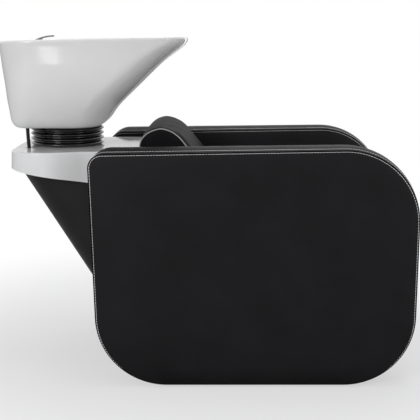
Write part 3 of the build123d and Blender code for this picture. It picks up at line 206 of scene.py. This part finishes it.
finish_of = {
    "basin": glaze, "collar": white_plastic, "shroud": black_plastic, "bellows": black_rubber,
    "hose_grommet": foot_rubber, "spray_hose": dark_braid, "spray_hose_upper": dark_braid,
    "hot_hose": steel_braid, "cold_hose": steel_braid, "waste_hose": grey_hose, "waste_outlet": grey_plastic,
    "hot_inlet": brass, "cold_inlet": brass, "service_bracket": zinc, "basin_gasket": foot_rubber,
    "waste_flange": chrome, "waste_nut": brass, "strainer": chrome, "mixer_ring": chrome,
    "mixer_body": chrome, "mixer_turret": chrome_reflection_darkened, "mixer_lever": chrome_reflection_darkened, "mixer_nut": brass,
    "spray_bush": chrome,
    "bush_nut": grey_plastic, "spray_handle": gloss_black, "spray_face": grey_plastic, "hose_nut": chrome,
    "cradle_bolts": zinc, "bracket_bolts": zinc, "pivot_bolts": zinc, "pivot_nuts": zinc, "frame_bolts": zinc,
    "friction_washers": fibre, "seat_board": black_board, "back_board": plywood, "front_apron": vinyl,
    "right_panel_core": plywood, "left_panel_core": plywood, "right_glides": foot_rubber,
    "left_glides": foot_rubber,
}
for name, node in nodes.items():
    finish = finish_of.get(name, vinyl if "upholstery" in name or "cushion" in name else coated_steel)
    if not node.material_slots:
        node.data.materials.append(finish)
    for slot in node.material_slots:
        slot.material = finish


# ---- Helpers for the soft pieces
def new_object(name, verts, faces, material):
    mesh = bpy.data.meshes.new(name)
    mesh.from_pydata([tuple(v) for v in verts], [], [tuple(f) for f in faces])
    mesh.update()
    obj = bpy.data.objects.new(name, mesh)
    scene.collection.objects.link(obj)
    mesh.materials.append(material)
    mesh.polygons.foreach_set("use_smooth", [True] * len(mesh.polygons))
    return obj


def rounded_outline(corners, radii, arc_points=30, side_points=36):
    """Points round a closed polygon with rounded corners, the same count for every radius."""
    out = []
    count = len(corners)
    starts, ends, arcs = [], [], []
    for i in range(count):
        before, here, after = (np.array(corners[(i + k) % count], float) for k in (-1, 0, 1))
        into = (here - before) / np.linalg.norm(here - before)
        away = (after - here) / np.linalg.norm(after - here)
        turn = math.acos(max(-1, min(1, float(into @ away))))
        reach = radii[i] * math.tan(turn / 2)
        first, last = here - into * reach, here + away * reach
        side = 1 if into[0] * away[1] - into[1] * away[0] > 0 else -1
        centre = first + radii[i] * side * np.array([-into[1], into[0]])
        a0 = math.atan2(*(first - centre)[::-1])
        angles = [a0 + side * turn * t for t in np.linspace(0, 1, arc_points)]
        arcs.append([centre + radii[i] * np.array([math.cos(a), math.sin(a)]) for a in angles])
        starts.append(first)
        ends.append(last)
    for i in range(count):
        out.extend(arcs[i])
        nxt = starts[(i + 1) % count]
        out.extend(ends[i] + (nxt - ends[i]) * t for t in np.linspace(0, 1, side_points + 2)[1:-1])
    return np.array(out)


# Seam outline of a side panel in metres, swelled by grow: most at the top's rear end, least down the rear
def panel_outline(grow):
    rear_share, front_share, top_share = (0.25, 0.85, 1.6) if grow > 0 else (1, 1, 1)
    rear, front = -rear_share * grow, front_share * grow
    corners = [(-0.3225 + rear, 0.665 + top_share * grow), (0.5895 + front, 0.680 + grow),
               (0.5895 + front, 0.008), (-0.3055 + rear, 0.008)]
    radii = [max(r + grow, 0.004) for r in (0.038 + 2 * max(grow, 0), 0.206, 0.198, 0.200)]
    return rounded_outline(corners, radii)


def puckers(length, seed):
    """Uneven gathers along a seam, from a few fixed waves."""
    t = length * 2 * math.pi
    waves = ((1, 0.021, 1), (0.7, 0.034, 2.1), (0.5, 0.013, 0.7))
    return sum(high * np.sin(t / long + shift * seed) for high, long, shift in waves) / 2.2


def run_length(points):
    steps = np.linalg.norm(np.roll(points, -1, 0) - points, axis=1)
    return np.concatenate([[0], np.cumsum(steps)[:-1]])


def panel_skin(name, middle, seed):
    """Foam panel in its cover: bulging boxing, drawn-in seams with gathers, and softly crowned faces."""
    half = panel_half
    seam = panel_outline(0)
    length = run_length(seam)
    centre = np.array([0.135, 0.345])
    rows = []
    # boxing from one seam to the other
    for u in np.sin(np.linspace(-math.pi / 2, math.pi / 2, 35)):
        swell = panel_crown * (1 - u * u)
        line = panel_outline(swell)
        near = math.exp(-(1 - abs(u)) * half / 0.009)
        out = line - centre
        out /= np.linalg.norm(out, axis=1)[:, None]
        draw = 0.0022 * math.exp(-(1 - abs(u)) * half / 0.0024)
        lift = 0.0005 * near * puckers(length, seed + (1 if u > 0 else 0)) * (abs(u) < 0.999) - draw
        free = np.clip((line[:, 1] - 0.012) / 0.02, 0, 1)
        shape = line + out * (lift * free)[:, None]
        rows.append([(x, middle + u * half, z) for x, z in shape])
    # faces from the seam to the middle, on both sides
    insets = [0.0025, 0.006, 0.011, 0.018, 0.028]
    shares = [0.86, 0.72, 0.58, 0.44, 0.30, 0.16, 0.05]
    for side in (1, -1):
        face = []
        for inset in insets:
            line = panel_outline(-inset)
            bulge = face_crown * (1 - math.exp(-inset / 0.03))
            groove = -0.0024 * math.exp(-inset / 0.0022)
            ripple = 0.0006 * math.exp(-inset / 0.010) * puckers(length, seed + 3 + side)
            out = half + bulge + groove
            face.append([(x, middle + side * (out + r), z) for (x, z), r in zip(line, ripple)])
        last = panel_outline(-insets[-1])
        for share in shares:
            line = centre + (last - centre) * share
            depth = (1 - share) * 0.33
            out = half + face_crown * (1 - math.exp(-(insets[-1] + depth) / 0.03))
            slow = 0.0008 * np.sin(line[:, 0] * 9 + seed) * np.sin(line[:, 1] * 11 + seed)
            face.append([(x, middle + side * (out + s), z) for (x, z), s in zip(line, slow * (1 - share))])
        if side == 1:
            rows = rows + face
        else:
            rows = face[::-1] + rows
    count = len(seam)
    verts = [p for row in rows for p in row]
    faces = []
    for r in range(len(rows) - 1):
        for i in range(count):
            j = (i + 1) % count
            faces.append((r * count + i, r * count + j, (r + 1) * count + j, (r + 1) * count + i))
    faces.append(tuple(range(count)))
    faces.append(tuple((len(rows) - 1) * count + i for i in reversed(range(count))))
    obj = new_object(name, verts, faces, vinyl)
    bm = bmesh.new()
    bm.from_mesh(obj.data)
    bmesh.ops.recalc_face_normals(bm, faces=bm.faces)
    bm.to_mesh(obj.data)
    bm.free()
    return obj


def tube(name, points, radius, material, closed):
    curve = bpy.data.curves.new(name, "CURVE")
    curve.dimensions = "3D"
    curve.bevel_depth = radius
    curve.bevel_resolution = 3
    spline = curve.splines.new("POLY")
    spline.points.add(len(points) - 1)
    for target, p in zip(spline.points, points):
        target.co = (*p, 1)
    spline.use_cyclic_u = closed
    temp = bpy.data.objects.new(name, curve)
    scene.collection.objects.link(temp)
    mesh = bpy.data.meshes.new_from_object(temp.evaluated_get(bpy.context.evaluated_depsgraph_get()))
    bpy.data.objects.remove(temp)
    obj = bpy.data.objects.new(name, mesh)
    scene.collection.objects.link(obj)
    mesh.materials.clear()
    mesh.materials.append(material)
    mesh.polygons.foreach_set("use_smooth", [True] * len(mesh.polygons))
    return obj


def stitches(name, lines, material):
    """Rows of short thread bars, each line a list of points with its outward normals."""
    pitch, long, radius = 0.0078, 0.0064, 0.0009
    verts, faces = [], []
    for points, normals in lines:
        points, normals = np.array(points), np.array(normals)
        closed = np.vstack([points, points[:1]])
        steps = np.linalg.norm(np.diff(closed, axis=0), axis=1)
        along = np.concatenate([[0], np.cumsum(steps)])
        total = along[-1]
        number = max(1, int(total / pitch))
        looped = np.vstack([normals, normals[:1]])
        for k in range(number):
            mids = [(k + 0.5) * total / number + s * long / 2 for s in (-1, -0.6, 0.6, 1)]
            spine = [np.array([np.interp(m % total, along, closed[:, a]) for a in range(3)]) for m in mids]
            normal = np.array([np.interp(mids[1] % total, along, looped[:, a]) for a in range(3)])
            normal /= np.linalg.norm(normal) + 1e-12
            forward = spine[2] - spine[1]
            forward /= np.linalg.norm(forward) + 1e-12
            across = np.cross(forward, normal)
            base = len(verts)
            for place, thick, sink in zip(spine, (0.35, 1, 1, 0.35), (-0.6, 0.3, 0.3, -0.6)):
                for angle in range(6):
                    a = angle * math.pi / 3
                    ring = math.cos(a) * across + 0.8 * math.sin(a) * normal
                    verts.append(place + radius * (thick * ring + sink * normal))
            for start in range(base, base + 18, 6):
                for q in range(6):
                    r = (q + 1) % 6
                    faces.append((start + q, start + r, start + 6 + r, start + 6 + q))
            faces.append(tuple(base + q for q in reversed(range(6))))
            faces.append(tuple(base + 18 + q for q in range(6)))
    return new_object(name, verts, faces, material)


def seam_lines(middle):
    """A stitch line to each side of both seams of a panel, on its face and on its boxing."""
    lines = []
    for side in (1, -1):
        face = panel_outline(-face_row_inset)
        y = middle + side * (panel_half + 0.0002)
        lines.append(([(x, y, z) for x, z in face], [(0, side, 0)] * len(face)))
        u = 1 - boxing_row_inset / panel_half
        line = panel_outline(panel_crown * (1 - u * u) + 0.0001)
        ahead = np.roll(line, -1, 0) - np.roll(line, 1, 0)
        normal = np.stack([ahead[:, 1], -ahead[:, 0]], 1)
        flip = np.sign(((line - line.mean(0)) * normal).sum(1))
        normal *= flip[:, None]
        normal /= np.linalg.norm(normal, axis=1)[:, None]
        lines.append(([(x, middle + side * u * panel_half, z) for x, z in line],
                      [(n[0], side * 0.3, n[1]) for n in normal]))
    return lines


for side, sign, seed in (("right", -1, 1.3), ("left", 1, 4.4)):
    middle = sign * panel_middle_y
    skin = panel_skin(f"{side}_panel_cover", middle, seed)
    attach(skin, "frame")
    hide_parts(f"{side}_panel_upholstery")
    rows = stitches(f"{side}_panel_stitches", seam_lines(middle), thread)
    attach(rows, "frame")
    # A near-black tube sunk in each seam groove: painted shade standing in for the shadow in the gap where
    # the panels meet.
    for face, way in (("outer", sign), ("inner", -sign)):
        line = [(x, middle + way * (panel_half - seam_shadow_inset), z) for x, z in panel_outline(-0.0006)]
        seam = tube(f"{side}_panel_{face}_seam", line, seam_shadow_radius, seam_shadow, True)
        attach(seam, "frame")


def cushion(node_name, title, voxel, pressure, cap, shrink, rounds):
    """Copy of a CAD cushion, remeshed and blown up as cloth with the swell capped, then smoothed."""
    source = nodes[node_name]
    obj = source.copy()
    obj.data = source.data.copy()
    obj.name = title
    for key in [k for k in obj.keys() if k.startswith("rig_")]:
        del obj[key]
    obj.parent = None
    scene.collection.objects.link(obj)
    bm = bmesh.new()
    bm.from_mesh(obj.data)
    bmesh.ops.remove_doubles(bm, verts=bm.verts, dist=1e-6)
    bm.to_mesh(obj.data)
    bm.free()
    count = len(obj.data.vertices)
    co = np.empty(count * 3)
    obj.data.vertices.foreach_get("co", co)
    co = co.reshape(-1, 3)
    middle = (co.min(0) + co.max(0)) / 2
    size = co.max(0) - co.min(0)
    co = middle + (co - middle) * (1 - 2 * shrink / size)
    obj.data.vertices.foreach_set("co", co.ravel())
    obj.data.update()
    bpy.context.view_layer.objects.active = obj
    for o in bpy.context.selected_objects:
        o.select_set(False)
    obj.select_set(True)
    remesh = obj.modifiers.new("Remesh", "REMESH")
    remesh.mode = "VOXEL"
    remesh.voxel_size = voxel
    bpy.ops.object.modifier_apply(modifier="Remesh")
    count = len(obj.data.vertices)
    start = np.empty(count * 3)
    obj.data.vertices.foreach_get("co", start)
    start = start.reshape(-1, 3)
    cloth = obj.modifiers.new("Cloth", "CLOTH")
    cloth.settings.quality = 5
    cloth.settings.mass = 0.3
    cloth.settings.tension_stiffness = 20
    cloth.settings.compression_stiffness = 12
    cloth.settings.bending_stiffness = 0.6
    cloth.settings.use_pressure = True
    cloth.settings.uniform_pressure_force = pressure
    cloth.settings.effector_weights.gravity = 0
    cloth.collision_settings.use_collision = False
    for f in range(1, 21):
        scene.frame_set(f)
    evaluated = obj.evaluated_get(bpy.context.evaluated_depsgraph_get())
    end = np.empty(count * 3)
    evaluated.data.vertices.foreach_get("co", end)
    end = end.reshape(-1, 3)
    obj.modifiers.remove(cloth)
    scene.frame_set(1)
    move = end - start
    far = np.linalg.norm(move, axis=1)
    move *= np.minimum(1, cap / np.maximum(far, 1e-9))[:, None]
    obj.data.vertices.foreach_set("co", (start + move).ravel())
    obj.data.update()
    smooth = obj.modifiers.new("Smooth", "SMOOTH")
    smooth.factor = 0.5
    smooth.iterations = rounds
    bpy.ops.object.modifier_apply(modifier="Smooth")
    sub = obj.modifiers.new("Subdivision", "SUBSURF")
    sub.levels = 1
    sub.render_levels = 1
    bpy.ops.object.modifier_apply(modifier="Subdivision")
    obj.data.materials.clear()
    obj.data.materials.append(vinyl_shaded_copy)
    obj.data.polygons.foreach_set("use_smooth", [True] * len(obj.data.polygons))
    obj.data.update()
    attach(obj, "frame")
    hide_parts(node_name)
    return obj


def on_surface(obj, points):
    """Each point moved to the nearest place on the cushion."""
    tree = BVHTree.FromObject(obj, bpy.context.evaluated_depsgraph_get())
    return np.array([tuple(tree.find_nearest(Vector(p))[0]) for p in points])


back = cushion("back_cushion", "backrest_pad", 0.005, 2.0, 0.0025, 0.001, 2)
seat = cushion("seat_cushion", "seat_pad", 0.006, 4.0, 0.010, 0.004, 4)

# Piping round both ends of the backrest, along its arch and down its front
arch = []
for a, b, c, n in (
    ((-0.195, 0.660), (-0.195, 0.670), (-0.195, 0.680), 5),
    ((-0.195, 0.680), (-0.179, 0.705), (-0.131, 0.726), 16),
    ((-0.131, 0.726), (-0.089, 0.7115), (-0.054, 0.674), 18),
    ((-0.054, 0.674), (0.007, 0.600), (0.067, 0.470), 40),
    ((0.067, 0.470), (0.067, 0.440), (0.067, 0.400), 10),
):
    for t in np.linspace(0, 1, n, endpoint=False):
        # a curve through the three points
        x = a[0] * (1 - t) * (1 - 2 * t) + 4 * b[0] * t * (1 - t) + c[0] * t * (2 * t - 1)
        z = a[1] * (1 - t) * (1 - 2 * t) + 4 * b[1] * t * (1 - t) + c[1] * t * (2 * t - 1)
        arch.append((x, z))
for side, sign in (("right", -1), ("left", 1)):
    line = on_surface(back, [(x, sign * piping_half_width, z) for x, z in arch])
    for _ in range(3):
        line[1:-1] = (line[:-2] + 2 * line[1:-1] + line[2:]) / 4
    cord = tube(f"backrest_{side}_piping", line, 0.0019, piping, False)
    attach(cord, "frame")

# Piping round the top edge of the seat pad
seat_corners = [(0.071, -0.232), (0.560, -0.232), (0.560, 0.232), (0.071, 0.232)]
ring = rounded_outline(seat_corners, [0.040] * 4, 10, 24)
line = on_surface(seat, [(x, y, 0.440) for x, y in ring])
for _ in range(3):
    line = (np.roll(line, 1, 0) + 2 * line + np.roll(line, -1, 0)) / 4
cord = tube("seat_piping", line, 0.0028, piping, True)
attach(cord, "frame")

# ---- Hoses and bellows, which cross the basin's tilt joint
def route_mesh(title, route, radius):
    curve = bpy.data.curves.new(title, "CURVE")
    curve.dimensions = "3D"
    curve.bevel_depth = radius
    curve.bevel_resolution = 5
    curve.use_fill_caps = True
    spline = curve.splines.new("NURBS")
    spline.points.add(len(route) - 1)
    for target, p in zip(spline.points, route):
        target.co = (*p, 1)
    spline.order_u = 3
    spline.use_endpoint_u = True
    temp = bpy.data.objects.new(title, curve)
    scene.collection.objects.link(temp)
    mesh = bpy.data.meshes.new_from_object(temp.evaluated_get(bpy.context.evaluated_depsgraph_get()))
    bpy.data.objects.remove(temp)
    return mesh


def hose(node_name, title, route, radius, finish):
    path = [tuple(v.co) for v in route_mesh(title, route, 0).vertices]
    mesh = route_mesh(title, route, radius)
    obj = bpy.data.objects.new(title, mesh)
    scene.collection.objects.link(obj)
    mesh.materials.clear()
    mesh.materials.append(finish)
    mesh.polygons.foreach_set("use_smooth", [True] * len(mesh.polygons))
    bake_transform(obj)
    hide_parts(node_name)


hose("spray_hose", "handset_hose", [
    (-0.529, -0.104, 0.7347), (-0.5268, -0.104, 0.612), (-0.500, -0.102, 0.545), (-0.418, -0.098, 0.415),
    (-0.418, -0.006, 0.415), (-0.462, -0.002, 0.505), (-0.506, 0, 0.600), (-0.508, 0, 0.735),
    (-0.506, 0, 0.8767)], 0.00525, dark_braid)
for node_name, title, sign in (("hot_hose", "hot_supply_hose", 1), ("cold_hose", "cold_supply_hose", -1)):
    hose(node_name, title, [(x, sign * y, z) for x, y, z in (
        (-0.150, 0.042, 0.1053), (-0.150, 0.042, 0.150), (-0.190, 0.041, 0.225), (-0.262, 0.039, 0.320),
        (-0.335, 0.037, 0.415), (-0.405, 0.034, 0.505), (-0.470, 0.024, 0.585), (-0.496, 0.0095, 0.655),
        (-0.498, 0.0095, 0.765), (-0.496, 0.0095, 0.8767))], 0.0045, steel_braid)
hose("waste_hose", "drain_hose", [
    (-0.405, 0, 0.680), (-0.405, 0, 0.580), (-0.372, 0, 0.490), (-0.315, 0, 0.395), (-0.245, 0, 0.295),
    (-0.178, 0, 0.205), (-0.150, 0, 0.145), (-0.150, 0, 0.090)], 0.0175, grey_hose)

# The bellows: folds from the collar to the basin, turned round the tilt's middle line
heights = [(nodes["bellows"].matrix_world @ v.co)[2] for v in nodes["bellows"].data.vertices]
foot, head = min(heights), max(heights)
steps = bellows_folds * 12
profile = []
for k in range(steps + 1):
    turn = (k * bellows_folds / steps) % 1
    profile.append((bellows_valley + bellows_fold_depth * (1 - abs(2 * turn - 1) ** 1.6),
                    foot + (head - foot) * k / steps))
profile += [(bellows_bore, head), (bellows_bore, foot)]
angles = [2 * math.pi * a / 160 for a in range(160)]
verts = [(tilt_x + r * math.cos(a), r * math.sin(a), z) for r, z in profile for a in angles]
around = len(angles)
faces = []
for k in range(len(profile)):
    here, above = k * around, (k + 1) % len(profile) * around
    for a in range(around):
        b = (a + 1) % around
        faces.append((here + a, here + b, above + b, above + a))
sleeve = new_object("bellows_sleeve", verts, faces, black_rubber)
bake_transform(sleeve)
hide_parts("bellows")

# ---- Floor, backdrop, lights and camera
floor = new_object("floor", [(-14, -14, 0), (14, -14, 0), (14, 14, 0), (-14, 14, 0)], [(0, 1, 2, 3)],
                   bpy.data.materials.new("studio floor"))
floor_finish = floor.data.materials[0]
floor_finish.use_nodes = True
tree = floor_finish.node_tree
tree.nodes.clear()
out = tree.nodes.new("ShaderNodeOutputMaterial")
blend = tree.nodes.new("ShaderNodeMixShader")
paint = tree.nodes.new("ShaderNodeBsdfDiffuse")
paint.inputs["Color"].default_value = (0.80, 0.80, 0.80, 1)
white = tree.nodes.new("ShaderNodeEmission")
white.inputs["Color"].default_value = (1, 1, 1, 1)
coords = tree.nodes.new("ShaderNodeTexCoord")
away = tree.nodes.new("ShaderNodeVectorMath")
away.operation = "LENGTH"
tree.links.new(coords.outputs["Object"], away.inputs[0])
fade = tree.nodes.new("ShaderNodeMapRange")
fade.interpolation_type = "SMOOTHSTEP"
fade.inputs["From Min"].default_value = 0.6
fade.inputs["From Max"].default_value = 1.6
fade.inputs["To Min"].default_value = 0.55
fade.inputs["To Max"].default_value = 1.0
tree.links.new(away.outputs["Value"], fade.inputs["Value"])
path = tree.nodes.new("ShaderNodeLightPath")
seen = tree.nodes.new("ShaderNodeMath")
seen.operation = "MULTIPLY"
tree.links.new(fade.outputs["Result"], seen.inputs[0])
tree.links.new(path.outputs["Is Camera Ray"], seen.inputs[1])
tree.links.new(seen.outputs["Value"], blend.inputs["Fac"])
tree.links.new(paint.outputs["BSDF"], blend.inputs[1])
tree.links.new(white.outputs["Emission"], blend.inputs[2])
tree.links.new(blend.outputs["Shader"], out.inputs["Surface"])

world = bpy.data.worlds.new("studio")
scene.world = world
world.use_nodes = True
tree = world.node_tree
tree.nodes.clear()
out = tree.nodes.new("ShaderNodeOutputWorld")
mix = tree.nodes.new("ShaderNodeMixShader")
path = tree.nodes.new("ShaderNodeLightPath")
soft = tree.nodes.new("ShaderNodeBackground")
plain = tree.nodes.new("ShaderNodeBackground")
soft.inputs["Color"].default_value = (0.96, 0.97, 1.0, 1)
soft.inputs["Strength"].default_value = 0.36
plain.inputs["Color"].default_value = (1, 1, 1, 1)
plain.inputs["Strength"].default_value = 1.0
shown = path.outputs["Is Camera Ray"]
for ray in ("Is Glossy Ray", "Is Transmission Ray"):
    either = tree.nodes.new("ShaderNodeMath")
    either.operation = "MAXIMUM"
    tree.links.new(shown, either.inputs[0])
    tree.links.new(path.outputs[ray], either.inputs[1])
    shown = either.outputs["Value"]
tree.links.new(shown, mix.inputs["Fac"])
tree.links.new(soft.outputs["Background"], mix.inputs[1])
tree.links.new(plain.outputs["Background"], mix.inputs[2])
tree.links.new(mix.outputs["Shader"], out.inputs["Surface"])


def area_light(name, place, target, width, height, power):
    light = bpy.data.lights.new(name, "AREA")
    light.shape = "RECTANGLE"
    light.size = width
    light.size_y = height
    light.energy = power
    obj = bpy.data.objects.new(name, light)
    scene.collection.objects.link(obj)
    obj.location = place
    obj.rotation_euler = (Vector(target) - Vector(place)).to_track_quat("-Z", "Y").to_euler()
    return obj


area_light("key", (-1.9, -2.9, 1.7), (-0.2, 0, 0.6), 1.2, 1.2, 38)
area_light("top", (0.3, 0.3, 3.4), (0.1, 0, 0.4), 2.6, 2.0, 36)
area_light("fill", (2.6, -2.4, 1.1), (0.1, 0, 0.5), 1.6, 1.6, 16)
area_light("strip", (-0.87, -2.62, 0.17), (-0.44, -0.25, 0.93), 0.10, 0.62, 0.55)
area_light("rear strip", (-1.1, 0.9, 2.9), (-0.44, 0, 0.7), 0.25, 0.9, 3)

scene.view_settings.view_transform = "Standard"
camera_data = bpy.data.cameras.new("camera")
camera_data.lens = 77.3
camera_data.sensor_width = 36
camera = bpy.data.objects.new("camera", camera_data)
scene.collection.objects.link(camera)
camera.location = (0.0117, -2.772, 0.981)
camera.rotation_euler = (math.radians(90 - 10.89), 0, 0)
scene.camera = camera
